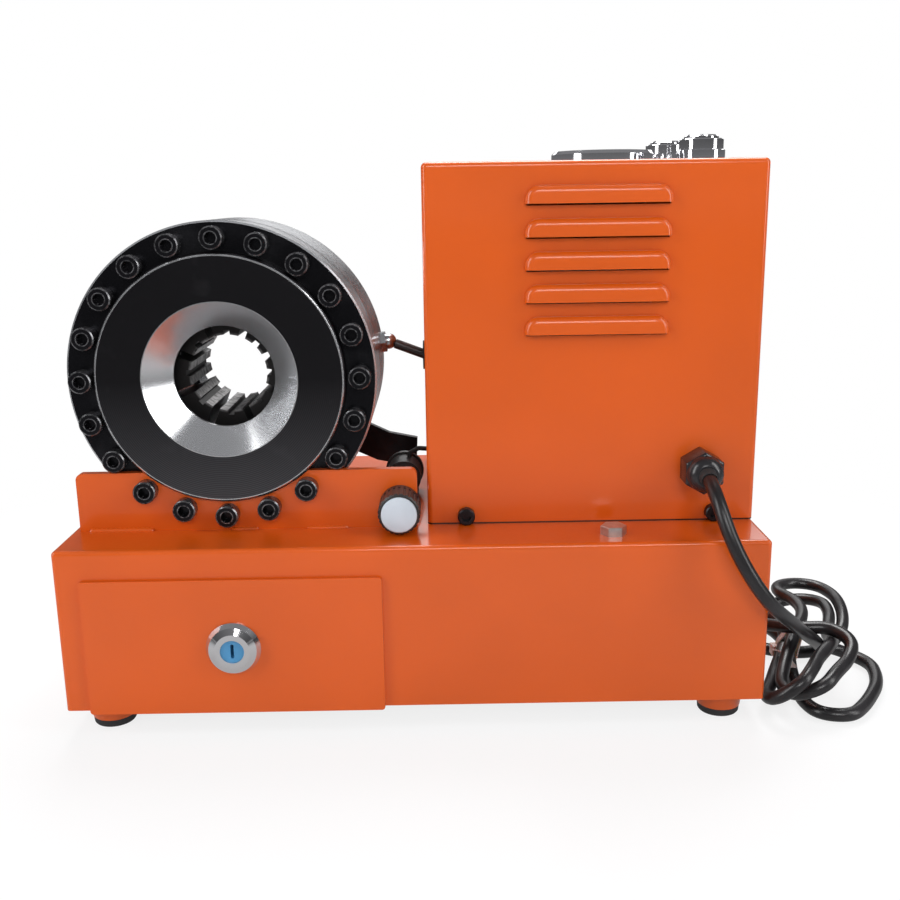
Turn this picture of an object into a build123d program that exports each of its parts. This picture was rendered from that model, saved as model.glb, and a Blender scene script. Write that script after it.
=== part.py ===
"""Bench hose crimping machine: a ring of dies closed by a hydraulic ring piston, on a sheet steel base.

X is to the right, Y goes to the back and Z is up; the origin is on the floor under the middle of the base.
Depths ("d") are counted from the front face of the base, in millimetres.
"""

from build123d import *
import os
from math import cos, pi, radians, sin, tan

os.makedirs("parts", exist_ok=True)

# ---- driving dimensions ----
base_width = 400.0
base_depth = 215.0
base_height = 95.5
sheet = 2.0  # thickness of the base's sheet
foot_height = 16.0
lock_reach = 7.8  # how far the drawer's lock stands out of the base
ring_radius = 88.4  # clamp ring and cylinder
head_x = -107.5
head_gap = 0.3  # between the ring and the base's top
throat_radius = 29.3
stroke = 16.0  # of the ring piston
die_open_radius = 22.5
die_count = 8
seat_angle = 32.0  # of the die seats, from the head's axis
tower_left = 8.3
tower_front = 40.3
tower_back = 205.0
tower_height = 206.2
cord_radius = 4.0
drawer_travel = 140.0

# ---- worked out from them ----
base_bottom = foot_height
base_top = base_bottom + base_height
front = -(base_depth - lock_reach) / 2
head_z = base_top + head_gap + ring_radius
base_right = base_width / 2
base_left = -base_right
tower_right = base_right
tower_top = base_top + tower_height
head_axis = Axis((head_x, front, head_z), (0, 1, 0))
die_pitch = 360 / die_count


# ---- helpers ----
def facing(x, d, z):
    """Plane at depth d that looks to the front: its x is +X, its y is +Z and its normal is -Y."""
    return Plane(origin=(x, front + d, z), x_dir=(1, 0, 0), z_dir=(0, -1, 0))


def floor_plan(z):
    """Level plane at height z, with its origin on the base's front face."""
    return Plane(origin=(0, front, z))


def block(x0, x1, d0, d1, z0, z1):
    """Straight block between two corners."""
    with BuildPart() as solid:
        with Locations((x0, front + d0, z0)):
            Box(x1 - x0, d1 - d0, z1 - z0, align=(Align.MIN, Align.MIN, Align.MIN))
    return solid.part


def plate(points, d0, d1, corner=0.0):
    """Plate of the outline given by (x, z) points, from depth d0 to d1, with rounded corners if asked."""
    with BuildPart() as solid:
        with BuildSketch(facing(0, d0, 0)) as outline:
            with BuildLine():
                Polyline(*points, close=True)
            make_face()
            if corner:
                fillet(outline.vertices(), corner)
        extrude(amount=-(d1 - d0))
    return solid.part


def turned(x, z, profile):
    """Solid turned about the line along Y through (x, z), from (radius, depth) points."""
    with BuildPart() as solid:
        with BuildSketch(Plane(origin=(x, front, z))):
            with BuildLine():
                Polyline(*profile, close=True)
            make_face()
        revolve(axis=Axis((x, front, z), (0, 1, 0)))
    return solid.part


def standing(x, d, profile):
    """Solid turned about the upright line through (x, d), from (radius, z) points."""
    with BuildPart() as solid:
        with BuildSketch(facing(x, d, 0)):
            with BuildLine():
                Polyline(*profile, close=True)
            make_face()
        revolve(axis=Axis((x, front + d, 0), (0, 0, 1)))
    return solid.part


def rod(x, z, radius, d0, d1):
    """Round bar along Y."""
    return turned(x, z, [(0, d0), (radius, d0), (radius, d1), (0, d1)])


def socket_screw(x, z, seat, head_radius, head_height, key, shank_radius, shank_end):
    """Socket head screw whose head stands in front of depth seat."""
    with BuildPart() as solid:
        add(turned(x, z, [(0, seat - head_height), (head_radius - 0.6, seat - head_height),
                          (head_radius, seat - head_height + 0.6), (head_radius, seat),
                          (shank_radius, seat), (shank_radius, shank_end), (0, shank_end)]))
        with BuildSketch(facing(x, seat - head_height, z)):
            RegularPolygon(radius=key / 2, side_count=6, major_radius=False)
        extrude(amount=-head_height * 0.6, mode=Mode.SUBTRACT)
    return solid.part


def save(solid, name):
    solid.label = name
    export_step(solid, f"parts/{name}.step")


# ---- base: an open-bottomed box of sheet, a floor plate and four feet ----
base_edge = 2.5
drawer_left = base_left + 20.0
drawer_right = -23.0
drawer_bottom = base_bottom + 2.4
drawer_top = base_bottom + 74.0

with BuildPart() as base_shell:
    add(block(-base_width / 2, base_width / 2, 0, base_depth, base_bottom, base_top))
    fillet(base_shell.edges().filter_by(Axis.Z), base_edge)
    fillet(base_shell.faces().sort_by(Axis.Z)[-1].edges(), base_edge)
    add(block(-base_width / 2 + sheet, base_width / 2 - sheet, sheet, base_depth - sheet,
              base_bottom, base_top - sheet), mode=Mode.SUBTRACT)
    add(block(drawer_left, drawer_right, -1, sheet + 1, base_bottom, drawer_top), mode=Mode.SUBTRACT)
save(base_shell.part, "base_shell")

foot_x = base_right - 20.5
foot_front = 22.0
foot_back = base_depth - 22.0
floor_gap = 0.2
foot_places = [(x, front + d, 0) for x in (-foot_x, foot_x) for d in (foot_front, foot_back)]

with BuildPart() as base_floor:
    add(block(-base_width / 2 + sheet + floor_gap, base_width / 2 - sheet - floor_gap, sheet + floor_gap,
              base_depth - sheet - floor_gap, base_bottom, base_bottom + sheet))
    with Locations(*[(x, y, base_bottom + sheet) for x, y, _ in foot_places]):
        Hole(radius=3.3, depth=sheet)
save(base_floor.part, "base_floor")

pad_height = 4.5
with BuildPart() as foot_cups:
    for x, y, _ in foot_places:
        add(standing(x, y - front, [(0, pad_height), (12.6, pad_height), (14.2, base_bottom),
                                    (3.2, base_bottom), (3.2, base_bottom + sheet),
                                    (0, base_bottom + sheet)]))
save(foot_cups.part, "foot_cups")

with BuildPart() as foot_pads:
    for x, y, _ in foot_places:
        add(standing(x, y - front, [(0, 0), (11.4, 0), (12.0, 0.8), (12.4, pad_height), (0, pad_height)]))
save(foot_pads.part, "foot_pads")

# ---- crimping head: bracket, clamp ring, front cap, cylinder, ring piston ----
bracket_front = 37.0
bracket_thick = 5.0
ring_front = bracket_front + bracket_thick
cap_flange_front = 62.0
cap_flange_back = 70.0
cylinder_back = 120.0
cap_front = 34.0
boss_radius = 71.0
boss_fit = 0.15
bolt_circle = 79.0
bolt_count = 20
bolt_hole = 4.4
bracket_bolts = (-54, -72, -90, -108, -126)  # degrees: the screws that also hold the bracket
bracket_left = base_left + 5.0
bracket_right = 2.5
bracket_top = base_top + 34.9


def bolt_place(degrees_round):
    """Centre (x, z) of a head screw."""
    return (head_x + bolt_circle * cos(radians(degrees_round)),
            head_z + bolt_circle * sin(radians(degrees_round)))


bolt_angles = [90 - i * 360 / bolt_count for i in range(bolt_count)]
bolt_points = [bolt_place(a) for a in bolt_angles]

knob_x = -7.5
knob_z = base_top + 13.3
spindle_radius = 4.0

with BuildPart() as front_bracket:
    with BuildSketch(facing(0, bracket_front, 0)) as bracket_outline:
        with BuildLine():
            Polyline((bracket_left, base_top), (bracket_right, base_top), (bracket_right, bracket_top),
                     (bracket_left, bracket_top), close=True)
        make_face()
        fillet(bracket_outline.vertices().group_by(Axis.Y)[-1], 4)
        with Locations((head_x, head_z)):
            Circle(boss_radius + 0.5, mode=Mode.SUBTRACT)
        with Locations(*[bolt_place(a) for a in bracket_bolts]):
            Circle(bolt_hole, mode=Mode.SUBTRACT)
        with Locations((knob_x, knob_z)):
            Circle(spindle_radius + 0.05, mode=Mode.SUBTRACT)
    extrude(amount=-bracket_thick)
save(front_bracket.part, "front_bracket")

saddle_half = 57.0
with BuildPart() as rear_saddles:
    add(block(head_x - saddle_half, head_x + saddle_half, 96, 104, base_top, base_top + 18))
    add(rod(head_x, head_z, ring_radius + head_gap / 2, 90, 110), mode=Mode.SUBTRACT)
save(rear_saddles.part, "rear_saddles")

with BuildPart() as clamp_ring:
    add(turned(head_x, head_z, [(boss_radius + boss_fit, ring_front), (ring_radius - 1, ring_front),
                                (ring_radius, ring_front + 1), (ring_radius, cap_flange_front),
                                (boss_radius + boss_fit, cap_flange_front)]))
    with BuildSketch(facing(0, ring_front, 0)):
        with Locations(*bolt_points):
            Circle(bolt_hole)
    extrude(amount=-(cap_flange_front - ring_front), mode=Mode.SUBTRACT)
save(clamp_ring.part, "clamp_ring")

# the dies' seats are eight flat faces: wide at the joint between cap and piston, narrow at both ends
die_front = 62.0
die_length = 55.0
die_middle = die_front + die_length / 2
die_half_height = 60.0  # distance of the die's back from the head's axis, at its middle
seat_clearance = 0.2 / cos(radians(seat_angle))
seat_slope = tan(radians(seat_angle))
lip_back = 51.0


def front_seat(d):
    """Distance from the head's axis to the front cap's seat faces at depth d."""
    return die_half_height - (die_middle - d) * seat_slope + seat_clearance


def rear_seat(d):
    """The same for the piston's seat faces, with the piston at rest."""
    return die_half_height - (d - die_middle) * seat_slope + seat_clearance


def octagon_space(d0, apothem0, d1, apothem1):
    """Tapering space with eight flat faces between two depths."""
    with BuildPart() as space:
        for d, apothem in ((d0, apothem0), (d1, apothem1)):
            with BuildSketch(facing(head_x, d, head_z)):
                RegularPolygon(radius=apothem, side_count=8, major_radius=False, rotation=die_pitch / 2)
        loft(ruled=True)
    return space.part


with BuildPart() as front_cap:
    add(turned(head_x, head_z, [(43.9, cap_front), (boss_radius - 1.2, cap_front),
                                (boss_radius, cap_front + 1.2), (boss_radius, cap_flange_front),
                                (ring_radius, cap_flange_front), (ring_radius, cap_flange_back),
                                (throat_radius, cap_flange_back), (throat_radius, 48.6)]))
    add(octagon_space(lip_back, front_seat(lip_back), cap_flange_back + 1, front_seat(cap_flange_back + 1)),
        mode=Mode.SUBTRACT)
    with BuildSketch(facing(0, cap_flange_front, 0)):
        with Locations(*bolt_points):
            Circle(bolt_hole)
    extrude(amount=-(cap_flange_back - cap_flange_front), mode=Mode.SUBTRACT)
save(front_cap.part, "front_cap")

bore_radius = 74.0
sleeve_radius = 62.0
run_fit = 0.05
wall_front = 110.0
port_depth = 107.0
port_angle = 7.0
screw_end = 84.0
piston_front = 88.0
piston_shoulder = 106.0
piston_back = 146.0
piston_bore = 36.0
cavity_back = 126.0

with BuildPart() as cylinder_body:
    add(turned(head_x, head_z, [(bore_radius, cap_flange_back), (ring_radius, cap_flange_back),
                                (ring_radius, cylinder_back - 1), (ring_radius - 1, cylinder_back),
                                (sleeve_radius + run_fit, cylinder_back),
                                (sleeve_radius + run_fit, wall_front), (bore_radius, wall_front)]))
    with BuildSketch(facing(0, cap_flange_back, 0)):
        with Locations(*bolt_points):
            Circle(4.0)
    extrude(amount=-(screw_end + 2 - cap_flange_back), mode=Mode.SUBTRACT)
    port = Plane(origin=(head_x, front + port_depth, head_z),
                 z_dir=(cos(radians(port_angle)), 0, sin(radians(port_angle))), x_dir=(0, 1, 0))
    with BuildSketch(port.offset(bore_radius - 2)):
        Circle(2.5)
    extrude(amount=ring_radius - bore_radius + 4, mode=Mode.SUBTRACT)
save(cylinder_body.part, "cylinder_body")

with BuildPart() as piston:
    add(turned(head_x, head_z, [(piston_bore, piston_front), (bore_radius - run_fit, piston_front),
                                (bore_radius - run_fit, piston_shoulder), (sleeve_radius, piston_shoulder),
                                (sleeve_radius, piston_back - 1), (sleeve_radius - 1, piston_back),
                                (piston_bore, piston_back)]))
    add(octagon_space(piston_front - 1, rear_seat(piston_front - 1), cavity_back, rear_seat(cavity_back)),
        mode=Mode.SUBTRACT)
save(piston.part, "piston")

with BuildPart() as head_screws:
    for angle in bolt_angles:
        x, z = bolt_place(angle)
        seat = bracket_front if angle in bracket_bolts else ring_front
        add(socket_screw(x, z, seat, 6.5, 8.0, 6.0, 3.95, screw_end))
save(head_screws.part, "head_screws")

# ---- dies: eight carriers with an insert each; they close along the front cap's seat faces ----
die_gap = 4.3  # between neighbours when open
insert_back = 36.0
tooth_span = (5.0, 17.0)  # degrees from the die's middle to a tooth's sides
groove_radius = 25.2


def half_width(height):
    """Half the die's width at a distance from the head's axis."""
    return height * tan(pi / die_count) - die_gap / 2 / cos(pi / die_count)


with BuildPart() as first_carrier:
    with BuildSketch(Plane(origin=(head_x, front, head_z), x_dir=(0, 1, 0), z_dir=(1, 0, 0))) as side_view:
        with BuildLine():
            Polyline((die_front, insert_back), (die_front + die_length, insert_back),
                     (die_front + die_length, die_half_height - die_length / 2 * seat_slope),
                     (die_middle, die_half_height),
                     (die_front, die_half_height - die_length / 2 * seat_slope), close=True)
        make_face()
    extrude(amount=half_width(die_half_height), both=True)
    with BuildSketch(facing(head_x, die_front - 1, head_z)):
        with BuildLine():
            Polyline((-half_width(30), 30), (half_width(30), 30), (half_width(64), 64),
                     (-half_width(64), 64), close=True)
        make_face()
    extrude(amount=-(die_length + 2), mode=Mode.INTERSECT)


def on_tooth(angle):
    return (die_open_radius * sin(radians(angle)), die_open_radius * cos(radians(angle)))


with BuildPart() as first_insert:
    with BuildSketch(facing(head_x, die_front, head_z)):
        with BuildLine():
            inner, outer = (on_tooth(a) for a in tooth_span)
            foot = (half_width(24.0), 24.0)
            back = (half_width(insert_back), insert_back)
            Line((0, groove_radius), (inner[0] - 0.3, groove_radius))
            Line((inner[0] - 0.3, groove_radius), inner)
            RadiusArc(inner, outer, die_open_radius)
            Line(outer, foot)
            Line(foot, back)
            Line(back, (0, insert_back))
            mirror(about=Plane.YZ)
        make_face()
    extrude(amount=-die_length)

for i in range(die_count):
    turn = i * die_pitch
    with BuildPart() as carrier:
        add(first_carrier.part.rotate(head_axis, turn))
    save(carrier.part, f"master_die_{i + 1}")
    with BuildPart() as insert:
        add(first_insert.part.rotate(head_axis, turn))
    save(insert.part, f"die_insert_{i + 1}")

# ---- crimp adjuster: knob, spindle and the stop that the piston's arm meets ----
knob_radius = 12.1
knob_front = 16.0
with BuildPart() as knob:
    add(turned(knob_x, knob_z, [(spindle_radius, knob_front + 1), (knob_radius - 1, knob_front + 1),
                                (knob_radius, knob_front + 2), (knob_radius, bracket_front - 0.6),
                                (spindle_radius, bracket_front - 0.6)]))
    with BuildSketch(facing(knob_x, knob_front, knob_z)):
        with PolarLocations(knob_radius + 0.35, 24):
            Circle(0.9)
    extrude(amount=-(bracket_front - knob_front - 5), mode=Mode.SUBTRACT)
save(knob.part, "knob")

with BuildPart() as knob_cap:
    add(turned(knob_x, knob_z, [(0, knob_front - 1), (9.7, knob_front - 1), (10.2, knob_front - 0.5),
                                (10.2, knob_front + 1), (0, knob_front + 1)]))
save(knob_cap.part, "knob_cap")

spindle_end = 94.0
with BuildPart() as adjuster_spindle:
    add(turned(knob_x, knob_z, [(0, knob_front + 1), (spindle_radius, knob_front + 1),
                                (spindle_radius, bracket_front + bracket_thick + 1),
                                (spindle_radius + 3, bracket_front + bracket_thick + 1),
                                (spindle_radius + 3, bracket_front + bracket_thick + 5),
                                (spindle_radius, bracket_front + bracket_thick + 5),
                                (spindle_radius, spindle_end), (0, spindle_end)]))
save(adjuster_spindle.part, "adjuster_spindle")

stop_front = 97.0
with BuildPart() as limit_switch:
    add(turned(knob_x, knob_z, [(0, stop_front), (11.0, stop_front), (11.0, 117), (12.4, 117), (12.4, 121),
                                (4.5, 121), (4.5, 126), (0, 126)]))
    add(block(knob_x - 9, knob_x + 9, 100, 114, base_top, knob_z))
save(limit_switch.part, "limit_switch")

switch_wire_depth = 110.0
wire_z = base_top + 29.2
wire_x = -4.0
wire_radius = 1.5
wire_start = Vector(wire_x, front + switch_wire_depth, knob_z + 10.5)
with BuildPart() as switch_wire:
    with BuildLine():
        FilletPolyline(wire_start, (wire_x, wire_start.Y, wire_z - 2.6),
                       (wire_x + 6, wire_start.Y, wire_z + 0.6), (tower_left + 6, wire_start.Y, wire_z - 0.4),
                       radius=2.2)
    with BuildSketch(Plane(origin=wire_start)):
        Circle(wire_radius)
    sweep()
save(switch_wire.part, "switch_wire")

arm_thick = 5.0
with BuildPart() as striker_arm:
    with BuildSketch(facing(0, piston_back, 0)):
        with Locations((head_x, head_z)):
            Circle(sleeve_radius - 1)
        with BuildLine():
            Polyline((-74, 174), (-31, base_top + 38.5), (-18.5, base_top + 32.5), (0.5, base_top + 28.5),
                     (-0.5, base_top + 8.5), (-27, base_top + 13.5), (-40, base_top + 19.5), (-92, 152),
                     close=True)
        make_face()
        with Locations((head_x, head_z)):
            Circle(piston_bore + 4, mode=Mode.SUBTRACT)
        with BuildLine():
            Polyline((head_x - 70, head_z - 24), (head_x + 10, head_z - 24), (head_x + 44, head_z + 14),
                     (head_x + 70, head_z + 14), (head_x + 70, head_z + 70), (head_x - 70, head_z + 70),
                     close=True)
        make_face(mode=Mode.SUBTRACT)
    extrude(amount=-arm_thick)
    for angle in (-10, -100):
        x = head_x + 52 * cos(radians(angle))
        z = head_z + 52 * sin(radians(angle))
        with Locations(Plane(origin=(x, front + piston_back + arm_thick, z), z_dir=(0, 1, 0))):
            Cylinder(5, 5, align=(Align.CENTER, Align.CENTER, Align.MIN))
save(striker_arm.part, "striker_arm")

# ---- pressure line from the cylinder to the pump in the tower ----
pipe_radius = 3.0
pipe_fall = 21.0  # degrees below level on its way to the tower
union_radius = 5.0
port_line = Vector(cos(radians(port_angle)), 0, sin(radians(port_angle)))
union = Vector(head_x, front + port_depth, head_z) + port_line * (ring_radius + 4.5)
with BuildPart() as pipe_fitting:
    with BuildSketch(port.offset(ring_radius - 6)):
        Circle(2.5)
    extrude(amount=6)
    with BuildSketch(port.offset(ring_radius)):
        RegularPolygon(radius=6.0, side_count=6, major_radius=False)
    extrude(amount=3)
    with Locations(union):
        Sphere(union_radius)
save(pipe_fitting.part, "pipe_fitting")

pump_top = base_top + 40.0
pipe_depth = front + port_depth
pipe_line = Vector(cos(radians(pipe_fall)), 0, -sin(radians(pipe_fall)))
pipe_start = union + pipe_line * (union_radius - 0.5)
pipe_down_x = 44.0
pipe_corner = union + pipe_line * ((pipe_down_x - union.X) / pipe_line.X)
pipe_wall_z = (union + pipe_line * ((tower_left - union.X) / pipe_line.X)).Z
with BuildPart() as pressure_pipe:
    with BuildLine():
        FilletPolyline(pipe_start, pipe_corner, (pipe_down_x, pipe_depth, pump_top), radius=14)
    with BuildSketch(Plane(origin=pipe_start, z_dir=pipe_line)):
        Circle(pipe_radius)
    sweep()
save(pressure_pipe.part, "pressure_pipe")

# ---- tower: sheet cover with louvres over the motor and pump ----
cover_sheet = 1.5
cover_edge = 3.0
louvre_left = tower_right - 135.0
louvre_right = louvre_left + 81.5
louvre_bottoms = [base_top + 183.2 - 18 * i for i in range(5)]
louvre_height = 10.0
louvre_reach = 5.0
louvre_corner = 8.0  # of its outline, at the top
louvre_round = 4.0  # of the pressed edge
louvre_wall = 1.0
tower_screw_places = [(tower_left + 22.7, base_top + 5.3), (tower_right - 24.0, base_top + 5.3)]
gland_x = tower_right - 33.2
gland_z = base_top + 32.2
gauge_x = tower_right - 84.5
gauge_depth = 96.0
button_places = [(tower_right - 33.0, 66.0), (tower_right - 39.0, 134.0)]


def louvre(z, shrink):
    """Pressed hood, shut at the top and ends and open below; shrink gives its inner side."""
    back = cover_sheet if shrink else cover_sheet / 2
    with BuildPart() as hood:
        with BuildSketch(facing(0, tower_front + back, z)) as outline:
            with BuildLine():
                Polyline((louvre_left + shrink, -shrink), (louvre_right - shrink, -shrink),
                         (louvre_right - shrink, louvre_height - shrink),
                         (louvre_left + shrink, louvre_height - shrink), close=True)
            make_face()
            fillet(outline.vertices().group_by(Axis.Y)[-1], louvre_corner - shrink)
        extrude(amount=back + louvre_reach - shrink)
        rim = hood.faces().sort_by(Axis.Y)[0].edges().sort_by(Axis.Z)[1:]
        fillet(rim, louvre_round - shrink)
    return hood.part


with BuildPart() as tower_cover:
    add(block(tower_left, tower_right, tower_front, tower_back, base_top, tower_top))
    fillet(tower_cover.edges().filter_by(Axis.Z), cover_edge)
    fillet(tower_cover.faces().sort_by(Axis.Z)[-1].edges(), cover_edge)
    add(block(tower_left + cover_sheet, tower_right - cover_sheet, tower_front + cover_sheet,
              tower_back - cover_sheet, base_top, tower_top - cover_sheet), mode=Mode.SUBTRACT)
    for z in louvre_bottoms:
        add(louvre(z, 0))
    for z in louvre_bottoms:
        add(louvre(z, louvre_wall), mode=Mode.SUBTRACT)
    for x, z in tower_screw_places:
        add(rod(x, z, 3.2, tower_front - 1, tower_front + cover_sheet + 1), mode=Mode.SUBTRACT)
    add(rod(gland_x, gland_z, 8.0, tower_front - 1, tower_front + cover_sheet + 1), mode=Mode.SUBTRACT)
    with BuildSketch(Plane(origin=(tower_left - 1, front + switch_wire_depth, wire_z), z_dir=(1, 0, 0))):
        Circle(wire_radius + 1)
    extrude(amount=cover_sheet + 2, mode=Mode.SUBTRACT)
    with BuildSketch(Plane(origin=(tower_left - 1, pipe_depth, pipe_wall_z), z_dir=(1, 0, 0))):
        Circle(6.5)
    extrude(amount=cover_sheet + 2, mode=Mode.SUBTRACT)
    with BuildSketch(floor_plan(tower_top)):
        with Locations((gauge_x, gauge_depth)):
            Circle(27.5)
        with Locations(*button_places):
            Circle(9.0)
    extrude(amount=-cover_sheet * 2, mode=Mode.SUBTRACT)
save(tower_cover.part, "tower_cover")

with BuildPart() as tower_frame:
    inner = cover_sheet + 0.3
    add(block(tower_left + inner, tower_right - inner, tower_front + inner, tower_back - inner,
              base_top, base_top + 12))
    add(block(tower_left + inner + 2, tower_right - inner - 2, tower_front + inner + 2,
              tower_back - inner - 2, base_top, base_top + 12), mode=Mode.SUBTRACT)
    for x, z in tower_screw_places:
        add(rod(x, z, 3.0, tower_front, tower_front + 8), mode=Mode.SUBTRACT)
save(tower_frame.part, "tower_frame")

with BuildPart() as tower_screws:
    for x, z in tower_screw_places:
        add(socket_screw(x, z, tower_front, 5.0, 5.0, 5.0, 2.95, tower_front + 7))
save(tower_screws.part, "tower_screws")

pump_x = (tower_left + tower_right) / 2
pump_depth = 124.0
with BuildPart() as pump_block:
    add(block(tower_left + 25.7, tower_right - 26.0, 84, 164, base_top, pump_top))
save(pump_block.part, "pump_block")

motor_radius = 48.0
with BuildPart() as motor:
    add(standing(pump_x, pump_depth, [(0, pump_top), (motor_radius, pump_top), (motor_radius, base_top + 150),
                                      (motor_radius - 10, base_top + 160), (0, base_top + 160)]))
save(motor.part, "motor")

with BuildPart() as pipe_grommet:
    with BuildSketch(Plane(origin=(tower_left - 2, pipe_depth, pipe_wall_z), z_dir=(1, 0, 0))):
        Circle(9)
        Circle(5.0, mode=Mode.SUBTRACT)
    extrude(amount=1.9)
    with BuildSketch(Plane(origin=(tower_left - 0.1, pipe_depth, pipe_wall_z), z_dir=(1, 0, 0))):
        Circle(6.4)
        Circle(5.0, mode=Mode.SUBTRACT)
    extrude(amount=cover_sheet + 2.5)
save(pipe_grommet.part, "pipe_grommet")

# ---- pressure gauge in the tower's top ----
bezel_height = 6.3
gauge_face = tower_top + 1.0
with BuildPart() as gauge_case:
    add(standing(gauge_x, gauge_depth, [(0, tower_top - 24), (26.5, tower_top - 24), (26.5, gauge_face),
                                        (1.2, gauge_face), (1.2, gauge_face + 2.2), (0, gauge_face + 2.2)]))
save(gauge_case.part, "gauge_case")

with BuildPart() as gauge_bezel:
    add(standing(gauge_x, gauge_depth, [(26.6, tower_top), (30.2, tower_top), (30.2, tower_top + 4.4),
                                        (28.4, tower_top + bezel_height), (25.0, tower_top + bezel_height),
                                        (25.0, tower_top + 5.0), (26.6, tower_top + 5.0)]))
save(gauge_bezel.part, "gauge_bezel")

with BuildPart() as gauge_glass:
    add(standing(gauge_x, gauge_depth, [(0, gauge_face + 2.6), (26.4, gauge_face + 2.6),
                                        (26.4, tower_top + 4.9), (0, tower_top + 4.9)]))
save(gauge_glass.part, "gauge_glass")

needle_turn = 225.0  # of the zero mark, counted from +X
with BuildPart() as gauge_needle:
    with BuildSketch(Plane(origin=(gauge_x, front + gauge_depth, gauge_face + 1.0))):
        with BuildLine():
            Polyline((-9, -1.3), (19, -0.4), (21, 0), (19, 0.4), (-9, 1.3), close=True)
        make_face()
        Circle(3.2)
        Circle(1.25, mode=Mode.SUBTRACT)
    extrude(amount=0.8)
needle_axis = Axis((gauge_x, front + gauge_depth, 0), (0, 0, 1))
save(gauge_needle.part.rotate(needle_axis, needle_turn), "gauge_needle")

# ---- push-buttons in the tower's top ----
button_radius = 9.6
button_top = tower_top + 13.3
button_press = 4.0
with BuildPart() as button_collars:
    for x, d in button_places:
        add(standing(x, d, [(button_radius + 0.3, tower_top), (13.4, tower_top), (13.4, tower_top + 4.8),
                            (12.4, tower_top + 5.4), (12.4, tower_top + 10.6), (11.8, tower_top + 11.2),
                            (button_radius + 0.3, tower_top + 11.2)]))
        add(standing(x, d, [(6.3, tower_top - 14), (8.7, tower_top - 14), (8.7, tower_top + 0.5),
                            (button_radius + 0.3, tower_top + 0.5), (button_radius + 0.3, tower_top + 2),
                            (6.3, tower_top + 2)]))
save(button_collars.part, "button_collars")

for name, (x, d) in zip(("close_button", "open_button"), button_places):
    with BuildPart() as button:
        add(standing(x, d, [(0, tower_top - 16), (6.0, tower_top - 16), (6.0, tower_top + 6.4),
                            (button_radius, tower_top + 6.4), (button_radius, button_top - 1),
                            (button_radius - 1.2, button_top), (0, button_top)]))
    save(button.part, name)

# ---- cable gland and the bolt in the base's top ----
gland_nut_front = 18.0
gland_body_front = 33.0
with BuildPart() as gland_body:
    add(rod(gland_x, gland_z, 7.9, tower_front, tower_front + 10))
    with BuildSketch(facing(gland_x, gland_body_front, gland_z)):
        RegularPolygon(radius=11.0, side_count=6, major_radius=False)
    extrude(amount=-(tower_front - gland_body_front))
    with BuildSketch(facing(gland_x, tower_front + cover_sheet, gland_z)):
        RegularPolygon(radius=11.5, side_count=6, major_radius=False)
    extrude(amount=-5)
save(gland_body.part, "gland_body")

with BuildPart() as gland_nut:
    add(turned(gland_x, gland_z, [(0, gland_nut_front), (5.4, gland_nut_front), (8.6, gland_nut_front + 2.2),
                                  (10.4, gland_nut_front + 6), (10.8, gland_body_front),
                                  (0, gland_body_front)]))
    with BuildSketch(facing(gland_x, gland_nut_front + 7, gland_z)):
        RegularPolygon(radius=11.0, side_count=6, major_radius=False)
    extrude(amount=-(gland_body_front - gland_nut_front - 7))
save(gland_nut.part, "gland_nut")

bolt_x = base_right - 86.0
bolt_depth = 16.8
with BuildPart() as base_bolt:
    with BuildSketch(Plane(origin=(bolt_x, front + bolt_depth, base_top))):
        RegularPolygon(radius=6.5, side_count=6, major_radius=False)
    extrude(amount=5.3)
    chamfer(base_bolt.faces().sort_by(Axis.Z)[-1].edges(), 0.5)
save(base_bolt.part, "base_bolt")

# ---- drawer with its lock ----
tray_sheet = 1.5
tray_left = drawer_left + 2.0
tray_right = drawer_right - 2.0
tray_bottom = base_bottom + 5.0
tray_top = base_bottom + 68.0
tray_depth = base_depth - 29.0
runner_depth = base_depth - 23.0
panel_left = drawer_left - 5.5
panel_right = drawer_right + 5.7
panel_bottom = base_bottom - 1.5
panel_top = base_bottom + 78.4
panel_front = -2.3
panel_back = -0.3
lock_x = (drawer_left + drawer_right) / 2
lock_z = base_bottom + 38.0

with BuildPart() as drawer_tray:
    add(block(tray_left, tray_right, panel_back, tray_depth, tray_bottom, tray_top))
    add(block(tray_left + tray_sheet, tray_right - tray_sheet, panel_back + tray_sheet,
              tray_depth - tray_sheet, tray_bottom + tray_sheet, tray_top + 1), mode=Mode.SUBTRACT)
    add(rod(lock_x, lock_z, 11.3, -1, 4), mode=Mode.SUBTRACT)
save(drawer_tray.part, "drawer_tray")

with BuildPart() as drawer_front:
    add(plate([(panel_left, panel_bottom), (panel_right, panel_bottom), (panel_right, panel_top),
               (panel_left, panel_top)], panel_front, panel_back, corner=2.0))
    add(rod(lock_x, lock_z, 11.3, panel_front - 1, 1), mode=Mode.SUBTRACT)
save(drawer_front.part, "drawer_front")

lock_bore = 6.75
with BuildPart() as lock_case:
    add(turned(lock_x, lock_z, [(lock_bore, -lock_reach), (10.0, -lock_reach), (13.5, -6.2), (15.5, -3.4),
                                (15.5, panel_front), (11.0, panel_front), (11.0, 12.0), (lock_bore, 12.0)]))
save(lock_case.part, "lock_case")

cam_length = 43.0
with BuildPart() as lock_plug:
    add(rod(lock_x, lock_z, lock_bore - 0.05, -lock_reach + 0.9, 15.5))
    with BuildSketch(facing(lock_x, 12.5, lock_z)):
        with BuildLine():
            Polyline((0, -7), (cam_length - 4, -5), (cam_length, -3), (cam_length, 3), (cam_length - 4, 5),
                     (0, 7), (-7, 0), close=True)
        make_face()
    extrude(amount=-2)
    with BuildSketch(facing(lock_x, -lock_reach + 0.9, lock_z)):
        SlotOverall(8.4, 1.9, rotation=90)
    extrude(amount=-7, mode=Mode.SUBTRACT)
save(lock_plug.part, "lock_plug")

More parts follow.
